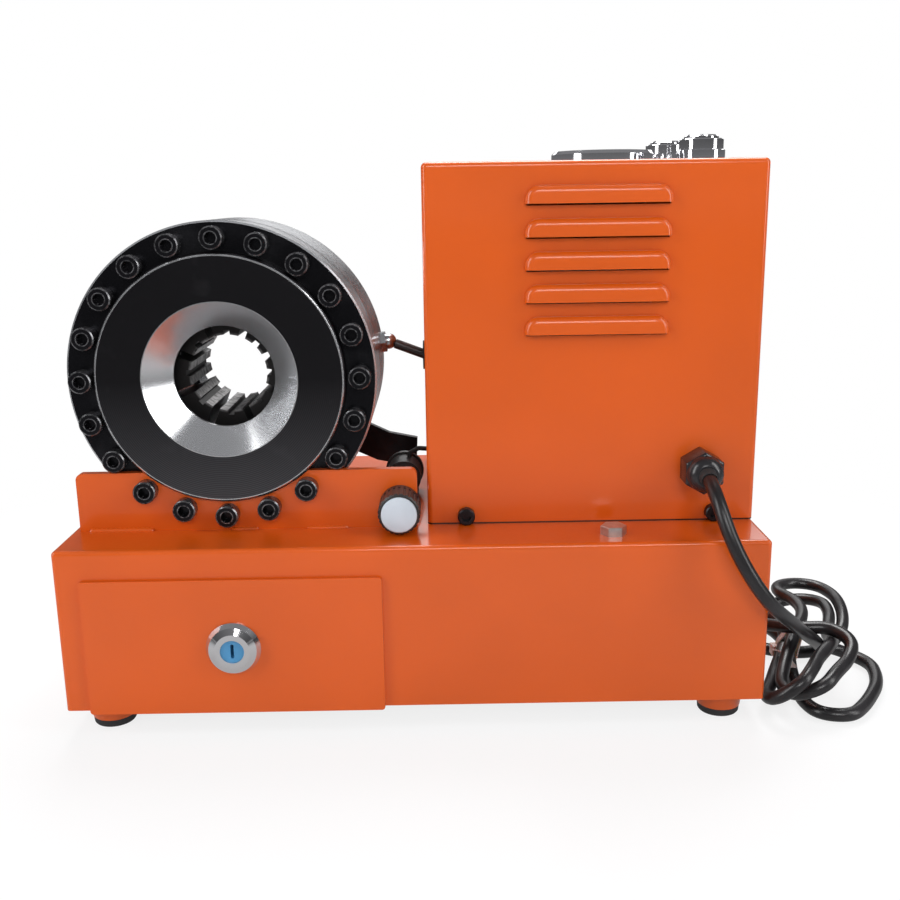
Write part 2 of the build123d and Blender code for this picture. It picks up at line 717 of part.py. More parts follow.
runner_floor = base_bottom + sheet
with BuildPart() as drawer_runners:
    for side, edge in ((1, tray_left), (-1, tray_right)):
        outer = edge - side * 1.4
        inner = edge + side * 10
        wall = edge - side * 0.4
        add(block(min(outer, inner), max(outer, inner), 5, runner_depth, runner_floor, tray_bottom - 0.3))
        add(block(min(outer, wall), max(outer, wall), 5, runner_depth, runner_floor, tray_bottom + 12))
save(drawer_runners.part, "drawer_runners")

# ---- power cord: a lead from the gland down to the floor, then a tied hank with the plug in it ----
cord_points = [(gland_x, gland_nut_front, gland_z), (gland_x + 0.4, 6.0, base_top + 28.7),
               (gland_x + 2.2, -4.5, base_top + 19.3), (gland_x + 5.8, -10.5, base_top + 5.5),
               (base_right - 21.5, -14.0, base_top - 9.5), (base_right - 13.5, -16.0, base_top - 24.0),
               (base_right - 3.0, -15.5, base_top - 37.5), (base_right + 8.5, -11.0, base_top - 49.0),
               (base_right + 19.5, -1.5, base_top - 57.5), (base_right + 29.5, 9.0, base_top - 65.0),
               (base_right + 39.0, 20.0, base_top - 72.5), (base_right + 48.0, 31.0, base_top - 81.0)]
cord_path = [Vector(x, front + d, z) for x, d, z in cord_points]


def corner_radii(path):
    """Arc radius at each inner point: as large as its two runs allow."""
    radii = []
    for before, here, after in zip(path, path[1:], path[2:]):
        run_in = here - before
        run_out = after - here
        half_turn = radians(run_in.get_angle(run_out)) / 2
        radii.append(0.45 * min(run_in.length, run_out.length) / tan(half_turn))
    return radii


cord_radii = corner_radii(cord_path)
print("cord arc radii", [round(r, 1) for r in cord_radii])

with BuildPart() as power_cord_lead:
    with BuildLine() as lead_line:
        FilletPolyline(*cord_path, radius=cord_radii)
    with BuildSketch(Plane(origin=cord_path[0], z_dir=cord_path[1] - cord_path[0])):
        Circle(cord_radius)
    sweep()
lead_length = lead_line.wires()[0].length
print("lead length", round(lead_length, 1), "volume ratio",
      round(power_cord_lead.part.volume / (lead_length * pi * cord_radius ** 2), 4))
save(power_cord_lead.part, "power_cord_lead")

hank_height = 34.0
# outline of the tied turns, x counted from the base's side
hank_outline = [(4, 0), (18, -9), (50, -9), (73, 1), (88, 28), (92, 60), (88, 84), (88, 104), (94, 130),
                (92, 156), (80, 169), (62, 168), (45, 153), (27, 120), (5, 120)]
tie_front = 66.0
tie_back = 71.0
tie_thick = 1.3
tie_slot = 7.0  # the space in the hank beside its tie
neck = (base_right + 28.5, base_right + 50.5, 7.5, 30.5)  # the cords in the tie: x from, x to, z from, z to

with BuildPart() as power_cord_hank:
    with BuildSketch(floor_plan(0)) as hank_plan:
        with BuildLine():
            Polyline(*[(base_right + x, d) for x, d in hank_outline], close=True)
        make_face()
        fillet(hank_plan.vertices(), 8)
    extrude(amount=hank_height)
    chamfer(power_cord_hank.faces().sort_by(Axis.Z)[-1].edges(), 5)
    with BuildSketch(facing((neck[0] + neck[1]) / 2, tie_front - 1, (neck[2] + neck[3]) / 2)):
        Rectangle(neck[1] - neck[0] + 2 * tie_slot, hank_height * 2)
        Rectangle(neck[1] - neck[0], neck[3] - neck[2], mode=Mode.SUBTRACT)
    extrude(amount=-(tie_back - tie_front + 2), mode=Mode.SUBTRACT)
save(power_cord_hank.part, "power_cord_hank")

with BuildPart() as cable_tie:
    band_gap = 0.1
    with BuildSketch(facing(0, tie_front, 0)):
        with Locations(((neck[0] + neck[1]) / 2, (neck[2] + neck[3]) / 2)):
            Rectangle(neck[1] - neck[0] + 2 * tie_thick, neck[3] - neck[2] + 2 * tie_thick)
            Rectangle(neck[1] - neck[0] + band_gap, neck[3] - neck[2] + band_gap, mode=Mode.SUBTRACT)
    extrude(amount=-(tie_back - tie_front))
    add(block(neck[0] - 5.5, neck[0] - band_gap, tie_front - 0.8, tie_back + 0.8, 18, 25))
    add(block(neck[0] - 4.0, neck[0] - 2.8, tie_front, tie_back, 3, 18))
save(cable_tie.part, "cable_tie")

plug_x = base_right + 16.0
plug_z = 6.6
plug_neck = 120.0  # where the plug's bend relief leaves the hank, and the depths of its body and blades
plug_body = 134.0
plug_face = 168.0
blade_end = 186.0
plug_half = 10.0
with BuildPart() as mains_plug:
    add(block(plug_x - plug_half, plug_x + plug_half, plug_body, plug_face, plug_z - 6.5, plug_z + 6.5))
    fillet(mains_plug.edges(), 3.5)
    add(turned(plug_x, plug_z, [(0, plug_neck), (cord_radius + 0.6, plug_neck),
                                (cord_radius + 2, plug_body + 1), (0, plug_body + 1)]))
    for side in (-1, 1):
        blade = plug_x + side * 6.3
        add(block(blade - 0.8, blade + 0.8, plug_face - 1, blade_end, plug_z - 3.15, plug_z + 3.15))
save(mains_plug.part, "mains_plug")
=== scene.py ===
# %% [markdown]
# # A hose crimping machine, dressed in Blender
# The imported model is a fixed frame: every solid is already in its place, in metres. Each cell below takes one
# finish or one piece, says what it is on the real machine, and makes it. We begin with the imports, the frame
# and the few sizes that all later cells use.

# %% Load the frame
from math import cos, pi, radians, sin

import bmesh
import bpy
from mathutils import Matrix, Vector


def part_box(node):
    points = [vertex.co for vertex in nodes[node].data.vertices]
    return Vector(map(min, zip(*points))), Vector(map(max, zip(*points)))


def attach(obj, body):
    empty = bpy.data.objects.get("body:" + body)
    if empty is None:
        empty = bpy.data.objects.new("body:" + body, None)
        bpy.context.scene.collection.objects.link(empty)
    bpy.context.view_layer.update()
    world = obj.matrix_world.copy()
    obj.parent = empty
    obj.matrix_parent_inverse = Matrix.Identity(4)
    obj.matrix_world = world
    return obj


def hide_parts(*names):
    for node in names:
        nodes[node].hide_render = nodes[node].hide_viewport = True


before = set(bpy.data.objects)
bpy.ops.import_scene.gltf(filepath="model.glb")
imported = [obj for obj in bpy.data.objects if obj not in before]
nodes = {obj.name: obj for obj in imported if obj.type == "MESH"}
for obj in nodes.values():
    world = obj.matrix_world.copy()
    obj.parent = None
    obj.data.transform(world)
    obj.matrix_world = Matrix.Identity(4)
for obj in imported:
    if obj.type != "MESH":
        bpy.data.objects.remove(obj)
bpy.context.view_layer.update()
MM = 0.001

base_low, base_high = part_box("base_shell")
ring_low, ring_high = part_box("clamp_ring")
cap_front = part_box("front_cap")[0].y
front = base_low.y
base_top = base_high.z
tower_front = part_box("tower_frame")[0].y - 1.8 * MM
head_x = (ring_low.x + ring_high.x) / 2
head_z = (ring_low.z + ring_high.z) / 2
print("frame:", len(nodes), "nodes; head axis at", round(head_x, 4), round(head_z, 4))


def at(x, d, z):
    """A point given in millimetres, with its depth d counted from the base's front face."""
    return Vector((x * MM, front + d * MM, z * MM))


# %% [markdown]
# ## The camera and the room
# The machine is seen from a little above, nearly straight on. Standard view transform keeps the colours about
# as they are written.

# %% Camera
EYE = at(19.03, -553.41, 298.7)
LENS = 42.13
YAW, PITCH, ROLL = 0.005, 0.2353, -0.0151

ahead = Vector((sin(YAW) * cos(PITCH), cos(YAW) * cos(PITCH), -sin(PITCH)))
level = Vector((cos(YAW), -sin(YAW), 0))
upright = level.cross(ahead)
right = level * cos(ROLL) + upright * sin(ROLL)
above = upright * cos(ROLL) - level * sin(ROLL)
camera_data = bpy.data.cameras.new("camera")
camera_data.lens = LENS
camera_data.sensor_width = 36
camera_data.clip_end = 60
camera = bpy.data.objects.new("camera", camera_data)
bpy.context.scene.collection.objects.link(camera)
turn = Matrix((right, above, -ahead)).transposed()
camera.matrix_world = Matrix.Translation(EYE) @ turn.to_4x4()
bpy.context.scene.camera = camera
bpy.context.scene.view_settings.view_transform = "Standard"
print("camera at", [round(c, 3) for c in camera.location])

# %% [markdown]
# ## Shader maths as plain expressions
# A material is a graph of nodes, which is slow to read. Two small classes let us write it as sums instead:
# `Value` wraps a socket, so that `1 - mask * 0.5` adds the Math nodes, and `Finish` makes a material and any
# other node in one call.


# %% Value and Finish
class Value:
    """A socket that can be added, multiplied and compared like a number."""

    def __init__(self, socket):
        self.socket = socket
        self.tree = socket.id_data

    def math(self, operation, *others, first=True):
        node = self.tree.nodes.new("ShaderNodeMath")
        node.operation = operation
        terms = [self, *others] if first else [*others, self]
        for slot, term in zip(node.inputs, terms):
            if isinstance(term, Value):
                self.tree.links.new(term.socket, slot)
            else:
                slot.default_value = term
        return Value(node.outputs[0])

    def __add__(self, other):
        return self.math("ADD", other)

    def __sub__(self, other):
        return self.math("SUBTRACT", other)

    def __rsub__(self, other):
        return self.math("SUBTRACT", other, first=False)

    def __mul__(self, other):
        return self.math("MULTIPLY", other)

    def __truediv__(self, other):
        return self.math("DIVIDE", other)

    def __gt__(self, other):
        return self.math("GREATER_THAN", other)

    def __lt__(self, other):
        return self.math("LESS_THAN", other)

    __radd__ = __add__
    __rmul__ = __mul__

    def root(self):
        return self.math("SQRT")

    def wave(self):
        return self.math("SINE")

    def clamp(self):
        return self.math("MAXIMUM", 0.0).math("MINIMUM", 1.0)

    def step(self, low, high):
        """0 below low, 1 above high and a straight ramp between them."""
        return ((self - low) / (high - low)).clamp()


class Finish:
    """A material with one Principled shader, built up by short calls."""

    def __init__(self, name, color, roughness=0.5, metallic=0.0, **fixed):
        self.material = bpy.data.materials.new(name)
        self.material.use_nodes = True
        self.tree = self.material.node_tree
        self.shader = self.tree.nodes["Principled BSDF"]
        self.set("Base Color", (*color, 1.0))
        self.set("Roughness", roughness)
        self.set("Metallic", metallic)
        for key, value in fixed.items():
            self.set(key.replace("_", " "), value)
        spot = self.node("TexCoord", output="Object")
        split = self.node("SeparateXYZ", {}, {0: spot}, output="X")
        self.place = spot
        self.x = split
        self.y = Value(split.socket.node.outputs["Y"])
        self.z = Value(split.socket.node.outputs["Z"])

    def node(self, kind, settings=None, inputs=None, output=0):
        """Any node: its settings first, then the values or links of its sockets."""
        made = self.tree.nodes.new("ShaderNode" + kind)
        for key, value in (settings or {}).items():
            if key == "stops":
                ramp = made.color_ramp.elements
                while len(ramp) < len(value):
                    ramp.new(0.5)
                for element, (position, shade) in zip(ramp, value):
                    element.position = position
                    element.color = shade if len(shade) == 4 else (*shade, 1.0)
            else:
                setattr(made, key, value)
        for key, value in (inputs or {}).items():
            if isinstance(value, Value):
                self.tree.links.new(value.socket, made.inputs[key])
            else:
                made.inputs[key].default_value = value
        return Value(made.outputs[output])

    def set(self, socket, value):
        if isinstance(value, Value):
            self.tree.links.new(value.socket, self.shader.inputs[socket])
        else:
            self.shader.inputs[socket].default_value = value

    def noise(self, scale, detail=2.0, stretch=(1, 1, 1)):
        """Noise of so many lumps per metre, from 0 to 1; stretch squeezes it along an axis."""
        spot = self.node("Mapping", {}, {"Vector": self.place, "Scale": stretch})
        return self.node("TexNoise", {}, {"Vector": spot, "Scale": scale, "Detail": detail})

    def blend(self, factor, one, two):
        """A colour between two."""
        colors = [c if isinstance(c, Value) else (*c, 1.0) for c in (one, two)]
        return self.node("Mix", {"data_type": "RGBA"}, {0: factor, 6: colors[0], 7: colors[1]}, output=2)

    def bump(self, height, distance, strength=1.0, under=None):
        inputs = {"Height": height, "Distance": distance, "Strength": strength}
        if under is not None:
            inputs["Normal"] = under
        relief = self.node("Bump", {}, inputs)
        self.set("Normal", relief)
        return relief

    def radius_from(self, x, z):
        """Distance from a line along Y."""
        across = self.x - x
        up = self.z - z
        return (across * across + up * up).root()


print("shader helpers ready")

# %% [markdown]
# ## Room, lamps and floor
# A tall softbox stands on each side, and wide ones hang above, in front and behind. The sky is dark just
# above the floor, so that chrome shows dark bands between the softboxes. The camera sees a white room, and
# the floor turns fully white away from the machine but keeps its shadow near it.

# %% World and floor
world = bpy.data.worlds.new("studio")
bpy.context.scene.world = world
world.use_nodes = True
tree = world.node_tree
tree.nodes.clear()
path = tree.nodes.new("ShaderNodeLightPath")
seen = tree.nodes.new("ShaderNodeMath")
seen.operation = "MAXIMUM"
tree.links.new(path.outputs["Is Camera Ray"], seen.inputs[0])
tree.links.new(path.outputs["Is Transmission Ray"], seen.inputs[1])
direction = tree.nodes.new("ShaderNodeTexCoord")
height = tree.nodes.new("ShaderNodeSeparateXYZ")
tree.links.new(direction.outputs["Generated"], height.inputs[0])
room = tree.nodes.new("ShaderNodeValToRGB")
SKY = [(0.0, 0.34), (0.05, 0.07), (0.30, 0.12), (0.60, 0.22)]  # height and grey: a dark band above the floor
while len(room.color_ramp.elements) < len(SKY):
    room.color_ramp.elements.new(0.5)
for stop, (position, grey) in zip(room.color_ramp.elements, SKY):
    stop.position = position
    stop.color = (grey, grey, grey * 1.03, 1)
tree.links.new(height.outputs["Z"], room.inputs[0])
soft = tree.nodes.new("ShaderNodeBackground")
tree.links.new(room.outputs[0], soft.inputs["Color"])
white = tree.nodes.new("ShaderNodeBackground")
white.inputs["Color"].default_value = (1, 1, 1, 1)
both = tree.nodes.new("ShaderNodeMixShader")
out = tree.nodes.new("ShaderNodeOutputWorld")
tree.links.new(seen.outputs[0], both.inputs[0])
tree.links.new(soft.outputs[0], both.inputs[1])
tree.links.new(white.outputs[0], both.inputs[2])
tree.links.new(both.outputs[0], out.inputs[0])

FLOOR_SIZE = 24.0
FLOOR_Z = -0.0004
bpy.ops.object.select_all(action="DESELECT")
bpy.ops.mesh.primitive_plane_add(size=FLOOR_SIZE, location=(0, 0, FLOOR_Z))
floor = bpy.context.object
floor.name = "floor"
paper = Finish("floor_paper", (0.86, 0.86, 0.87), roughness=0.9, Specular_IOR_Level=0.0)
camera_rays = paper.node("LightPath", output="Is Camera Ray")
glossy_rays = Value(camera_rays.socket.node.outputs["Is Glossy Ray"])
from_middle = (paper.x * paper.x + paper.y * paper.y).root()
mirrored = 0.42 - from_middle.step(0.35, 1.0) * 0.38
glow = paper.node("Emission", {}, {"Color": (1, 1, 1, 1), "Strength": camera_rays + glossy_rays * mirrored})
share = camera_rays * (0.8 + from_middle.step(0.25, 0.55) * 0.2) + glossy_rays * 0.85
mixed = paper.node("MixShader", {}, {0: share, 1: Value(paper.shader.outputs[0]), 2: glow})
surface = paper.tree.nodes["Material Output"].inputs["Surface"]
paper.tree.links.new(mixed.socket, surface)
floor.data.materials.append(paper.material)

LAMPS = [  # name, place, aimed at, width, height, power
    ("left_box", (-1.6, -0.8, 1.0), (0, 0, 0.3), 0.6, 1.8, 20),
    ("right_box", (1.7, -0.8, 1.0), (0, 0, 0.3), 0.5, 1.8, 17),
    ("top_box", (0.1, 0.8, 1.9), (0, 0, 0.1), 1.4, 0.8, 40),
    ("front_box", (0.3, -2.6, 1.6), (0, 0, 0.2), 1.2, 0.8, 25),
    ("back_box", (0.4, 2.1, 1.1), (0, 0, 0.2), 1.8, 0.6, 7),
]
for name, place, aim, width, tall, power in LAMPS:
    lamp_data = bpy.data.lights.new(name, "AREA")
    lamp_data.shape = "RECTANGLE"
    lamp_data.size = width
    lamp_data.size_y = tall
    lamp_data.energy = power
    lamp = bpy.data.objects.new(name, lamp_data)
    lamp.location = place
    lamp.rotation_euler = (Vector(aim) - Vector(place)).to_track_quat("-Z", "Y").to_euler()
    bpy.context.scene.collection.objects.link(lamp)
print("lamps:", len(LAMPS))

# %% [markdown]
# ## Painted steel
# The enamel is a saturated orange with a clear, slightly wavy gloss. Its colour drifts a little from panel to
# panel, and the wave is far smaller than a millimetre high, so a fine bump is enough.

# %% Orange enamel
ORANGE = (0.68, 0.098, 0.004)
SEAM = 0.9 * MM


def enamel(name, color, foot=None):
    """Sprayed and baked enamel; foot is the height of a dark joint line under the piece."""
    paint = Finish(name, color, roughness=0.34, Coat_Weight=0.5, Coat_Roughness=0.08, Specular_IOR_Level=0.35)
    drift = paint.noise(9, 2)
    deep = tuple(c * 0.86 for c in color)
    body = paint.blend(drift.step(0.3, 0.75), color, deep)
    seam = (paint.z > foot) * (paint.z < foot + SEAM) if foot else None
    paint.set("Base Color", paint.blend(seam, body, (0.03, 0.008, 0.004)) if foot else body)
    peel = paint.noise(420, 3)
    runs = paint.noise(35, 2)
    paint.set("Roughness", 0.28 + peel * 0.1)
    paint.bump(peel * 0.35 + runs, 0.0003, 0.2)
    return paint.material


orange = enamel("orange_enamel", ORANGE)
tower_orange = enamel("tower_enamel", ORANGE, base_top)
print("finish:", orange.name)


def dress(material, *names):
    """Give CAD nodes a finish."""
    for name in names:
        mesh = nodes[name].data
        mesh.materials.clear()
        mesh.materials.append(material)


dress(orange, "base_shell", "front_bracket", "rear_saddles", "drawer_front", "foot_cups", "tower_frame")
dress(tower_orange, "tower_cover")

# %% [markdown]
# ## Black oxide
# The small steel parts are blackened: a dark metal whose film is a little blotchy, so noise drifts the colour
# and the roughness together.

# %% Black oxide
OXIDE = (0.017, 0.017, 0.020)


def oxide(name, color=OXIDE, roughness=0.32, metallic=0.75):
    film = Finish(name, color, roughness=roughness, metallic=metallic)
    blotch = film.noise(50, 3)
    worn = tuple(c * 2.2 + 0.006 for c in color)
    film.set("Base Color", film.blend(blotch.step(0.45, 0.8), color, worn))
    film.set("Roughness", roughness - 0.08 + blotch * 0.2)
    film.bump(film.noise(600, 2), 0.00003, 0.25)
    return film.material


black_oxide = oxide("black_oxide")
dress(black_oxide, "tower_screws", "striker_arm")
print("finish:", black_oxide.name)

# %% [markdown]
# ## The head's screws
# Each head gets a painted highlight: a light grey ring on its rim and on the lip of its socket. All twenty sit
# on one circle, so the angle is folded into one step of it, and the distance from the nearest axis follows.

# %% Head screws
SCREWS, SCREW_CIRCLE = 20, 79.0 * MM
screw = Finish("screws_painted_highlight", OXIDE, roughness=0.25, metallic=0.8)
sideways, upward = screw.x - head_x, screw.z - head_z
round_head = screw.node("Math", {"operation": "ARCTAN2"}, {0: upward, 1: sideways})
turns = (round_head / (2 * pi) + 1.0) * SCREWS + 0.5
off_axis = (turns.math("FRACT") - 0.5) * (2 * pi / SCREWS)
reach = screw.radius_from(head_x, head_z)
beside = reach * off_axis
outward = reach - SCREW_CIRCLE
from_screw = (beside * beside + outward * outward).root()
# painted highlights: a light grey ring on the lip of each socket and on the rim of each head, broken up by
# noise
socket_highlight = (from_screw > 3.3 * MM) * (from_screw < 3.9 * MM) * 0.6
painted_edge_highlight = (from_screw > 5.7 * MM) * (from_screw < 6.6 * MM) * 0.45
sheen_noise = screw.noise(500, 3)
screw.set("Base Color", screw.blend((socket_highlight + painted_edge_highlight) * sheen_noise.step(0.3, 0.6), OXIDE, (0.40, 0.40, 0.41)))
screw.set("Roughness", 0.2 + sheen_noise * 0.1)
screw.bump(sheen_noise, 0.00003, 0.3)
dress(screw.material, "head_screws")
print("screws:", SCREWS, "on a circle of", SCREW_CIRCLE, "m radius")

# %% [markdown]
# ## The front cap and the clamp ring
# Both are turned from bar and blackened. The lathe leaves fine rings; the lower half of the cap is painted a
# lighter grey, a painted sheen where the light grazes them. The cone was turned bright afterwards, and the rims
# get a painted highlight in the same bright colour, so one material finds them by their distance from the
# head's axis.

# %% Cap and ring
RING_PITCH = 2 * pi / (1.1 * MM)  # the lathe's feed left a ring each 1.1 mm
CONE_RADIUS = 44.4 * MM
THROAT_RADIUS = 29.6 * MM
BOSS_RIM = 69.3 * MM
RING_RIM = 87.3 * MM

cap = Finish("turned_and_blackened", OXIDE, roughness=0.3, metallic=0.9)
radius = cap.radius_from(head_x, head_z)
depth = cap.y - cap_front
rings = (radius * RING_PITCH).wave() * 0.5 + 0.5
bright = (radius < CONE_RADIUS) * (radius > THROAT_RADIUS - 0.5 * MM) * (depth < 15.5 * MM)
# the boss's rim gets a painted highlight in the bright bare-metal colour
rim = (radius > BOSS_RIM) * (depth < 0.5 * MM)
joint = (depth > 27 * MM) * (radius > 80 * MM)
bare_and_painted_rim = (bright + rim + joint).clamp()
scuffs = cap.noise(40, 3, (1, 0.4, 1))
# painted sheen: the lower half of the cap is lighter, where the light grazes the lathe rings; the scuffs are
# real
low_half = (head_z - cap.z).step(0.0, 0.07)
film_and_painted_sheen = cap.blend(low_half * (rings * 0.5 + 0.5) + scuffs.step(0.6, 0.9) * 0.3, (0.026, 0.025, 0.028),
                       (0.13, 0.13, 0.14))
cap.set("Base Color", cap.blend(bare_and_painted_rim, film_and_painted_sheen, (0.74, 0.75, 0.77)))
cap.set("Roughness", 0.3 - bare_and_painted_rim * 0.14 + scuffs * 0.04)
cap.bump(rings * (0.15 + low_half * 0.5) * (1 - bare_and_painted_rim), 0.00004, 0.4)
dress(cap.material, "front_cap")

ring = Finish("blackened_ring", OXIDE, roughness=0.3, metallic=0.85)
radius = ring.radius_from(head_x, head_z)
# the ring's outer edge gets a painted highlight in a bright steel colour
painted_edge_highlight = (radius > RING_RIM).clamp()
marks = ring.noise(45, 3)
ring.set("Base Color", ring.blend(painted_edge_highlight, ring.blend(marks.step(0.5, 0.8), OXIDE, (0.045, 0.045, 0.05)),
                                  (0.60, 0.61, 0.63)))
ring.set("Roughness", 0.17 + marks * 0.1)
ring.bump((radius * RING_PITCH).wave() * 0.3 + marks, 0.00003, 0.2)
dress(ring.material, "clamp_ring")
print("finishes:", cap.material.name, ring.material.name)

# %% [markdown]
# ## Bright steel
# The cylinder, the piston and the spindle are turned steel, left bare. The tool marks run round the axis, so
# the bump follows the depth along Y.

# %% Turned, plated and chromed steel
STEEL = (0.56, 0.57, 0.59)
TOOL_PITCH = 2 * pi / (0.9 * MM)


def turned_steel(name, color=STEEL, roughness=0.24):
    steel = Finish(name, color, roughness=roughness, metallic=1.0)
    feed = (steel.y * TOOL_PITCH).wave() * 0.5 + 0.5
    cloud = steel.noise(40, 4)
    steel.set("Base Color", steel.blend(cloud.step(0.35, 0.8), color, tuple(c * 0.8 for c in color)))
    steel.set("Roughness", roughness - 0.05 + cloud * 0.14)
    steel.bump(feed * 0.5 + cloud * 0.5, 0.00005, 0.4)
    return steel.material


bright_steel = turned_steel("turned_steel")
dress(bright_steel, "cylinder_body", "piston", "adjuster_spindle", "pipe_fitting")


def chrome(name, color=(0.80, 0.80, 0.82), roughness=0.05):
    plate = Finish(name, color, roughness=roughness, metallic=1.0)
    haze = plate.noise(120, 3)
    plate.set("Roughness", roughness + haze * 0.05)
    plate.bump(haze, 0.00002, 0.3)
    return plate.material


mirror_chrome = chrome("chrome")
dress(mirror_chrome, "gauge_bezel", "button_collars", "close_button", "open_button", "lock_case")


def zinc(name):
    plate = Finish(name, (0.62, 0.62, 0.60), roughness=0.35, metallic=1.0)
    spangle = plate.noise(180, 3)
    plate.set("Base Color", plate.blend(spangle.step(0.35, 0.7), (0.66, 0.66, 0.64), (0.50, 0.50, 0.48)))
    plate.set("Roughness", 0.28 + spangle * 0.2)
    plate.bump(spangle, 0.00005, 0.4)
    return plate.material


zinc_plate = zinc("zinc_plate")
dress(zinc_plate, "base_floor", "drawer_runners", "drawer_tray", "base_bolt")
print("finishes:", bright_steel.name, mirror_chrome.name, zinc_plate.name)

# %% [markdown]
# ## Dies
# The carriers are blackened; the teeth of the inserts have rubbed bright where hoses were crimped. Wear is
# a mask on the distance from the head's axis, broken up by noise.

# %% Dies
DIE_RADIUS = 22.5 * MM
die = Finish("worn_dies", OXIDE, roughness=0.35, metallic=0.8)
radius = die.radius_from(head_x, head_z)
chips = die.noise(260, 4)
worn = (1 - (radius - DIE_RADIUS).step(0.2 * MM, 1.6 * MM)) * chips.step(0.3, 0.6)
die.set("Base Color", die.blend(worn, (0.030, 0.028, 0.028), (0.34, 0.33, 0.33)))
die.set("Roughness", 0.4 - worn * 0.1 + chips * 0.1)
die.bump(chips, 0.0001, 0.5)
for number in range(1, 9):
    dress(die.material, f"die_insert_{number}")
    dress(black_oxide, f"master_die_{number}")
print("finish:", die.material.name)

# %% [markdown]
# ## Plastics, rubber, dial and glass
# Small parts get the same care: moulded plastic has a fine grain, rubber is matt, the lock's plug is blue.


# %% Plastics and rubber
def moulded(name, color, roughness, grain=700, height=0.00008):
    plastic = Finish(name, color, roughness=roughness, Specular_IOR_Level=0.5)
    skin = plastic.noise(grain, 3)
    dust = plastic.noise(30, 4)
    pale = tuple(c * 1.25 + 0.008 for c in color)
    plastic.set("Base Color", plastic.blend(dust.step(0.5, 0.85), color, pale))
    plastic.set("Roughness", roughness - 0.05 + skin * 0.12)
    plastic.bump(skin, height, 0.5)
    return plastic.material


gland_black = moulded("gland_nylon", (0.016, 0.015, 0.017), 0.22, 300, 0.00004)
switch_black = moulded("black_plastic", (0.020, 0.018, 0.018), 0.38)
pad_rubber = moulded("black_rubber", (0.020, 0.020, 0.021), 0.7, 500, 0.0002)
pale_cap = moulded("pale_cap", (0.48, 0.54, 0.60), 0.42)
pipe_black = moulded("pipe_coating", (0.035, 0.026, 0.024), 0.35)
blue_metal = moulded("blue_plug", (0.05, 0.22, 0.42), 0.3)
machine_grey = moulded("machine_grey", (0.22, 0.24, 0.26), 0.45, 200, 0.0002)
pointer_black = moulded("pointer_black", (0.01, 0.01, 0.01), 0.5)
dress(gland_black, "gland_body", "gland_nut")
dress(switch_black, "knob", "limit_switch")
dress(pad_rubber, "foot_pads", "pipe_grommet", "switch_wire")
dress(pale_cap, "knob_cap")
dress(pipe_black, "pressure_pipe")
dress(blue_metal, "lock_plug")
dress(machine_grey, "motor", "pump_block")
dress(pointer_black, "gauge_needle")

glass = Finish("gauge_glass", (0.98, 0.99, 1.0), roughness=0.02, Transmission_Weight=1.0, IOR=1.45)
smear = glass.noise(60, 2)
glass.set("Roughness", 0.01 + smear * 0.04)
dress(glass.material, "gauge_glass")
print("plastics, rubber and glass: 9 finishes")

# %% [markdown]
# ## The gauge's dial
# Ticks are drawn by the shader, as rings and rays about the gauge's axis: polar coordinates give the angle
# and the radius, and a comparison of each keeps the marks crisp.

# %% Gauge dial
gauge_low, gauge_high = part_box("gauge_case")
gauge_x = (gauge_low.x + gauge_high.x) / 2
gauge_y = (gauge_low.y + gauge_high.y) / 2
dial = Finish("gauge_dial", (0.86, 0.86, 0.84), roughness=0.45)
across = dial.x - gauge_x
along = dial.y - gauge_y
radius = (across * across + along * along).root()
bearing = dial.node("Math", {"operation": "ARCTAN2"}, {0: along, 1: across})
TICK_STEP = radians(27)
SMALL_STEP = TICK_STEP / 5


def rays(step, half_width, inner, outer):
    """Marks every step radians, half_width wide at the rim, between two radii."""
    phase = (bearing + (pi + TICK_STEP / 2)) / step
    near = (phase.math("FRACT") - 0.5).math("ABSOLUTE") * step * radius
    return (near < half_width) * (radius > inner) * (radius < outer)


big = rays(TICK_STEP, 0.45 * MM, 17.5 * MM, 23.2 * MM)
small = rays(SMALL_STEP, 0.18 * MM, 20.5 * MM, 23.2 * MM)
scale_ring = (radius > 23.2 * MM) * (radius < 23.6 * MM)
ink = (big + small + scale_ring).clamp()
side = (dial.z < gauge_high.z - 2.6 * MM)
shade = dial.blend((ink + side).clamp(), (0.86, 0.86, 0.84), (0.015, 0.015, 0.015))
dial.set("Base Color", shade)
dial.set("Roughness", 0.4 + dial.noise(300, 2) * 0.1)
dress(dial.material, "gauge_case")
print("dial marks every", round(TICK_STEP * 57.3), "degrees")

# %% [markdown]
# ## Modelling with operators
# New pieces start from a primitive, as by hand. These helpers deselect all, pick faces by a test, and put a
# finished piece's place into its mesh, so that its object sits at the origin like the CAD nodes.


# %% Modelling helpers
def fresh():
    """Nothing selected, in object mode."""
    if bpy.context.object and bpy.context.object.mode != "OBJECT":
        bpy.ops.object.mode_set(mode="OBJECT")
    bpy.ops.object.select_all(action="DESELECT")


def only(piece):
    fresh()
    piece.select_set(True)
    bpy.context.view_layer.objects.active = piece


def pick_faces(piece, wanted):
    """Select the faces that the test likes, in edit mode."""
    only(piece)
    bpy.ops.object.mode_set(mode="EDIT")
    bpy.ops.mesh.select_mode(type="FACE")
    bpy.ops.mesh.select_all(action="DESELECT")
    mesh = bmesh.from_edit_mesh(piece.data)
    for face in mesh.faces:
        face.select_set(wanted(face))
    bmesh.update_edit_mesh(piece.data)


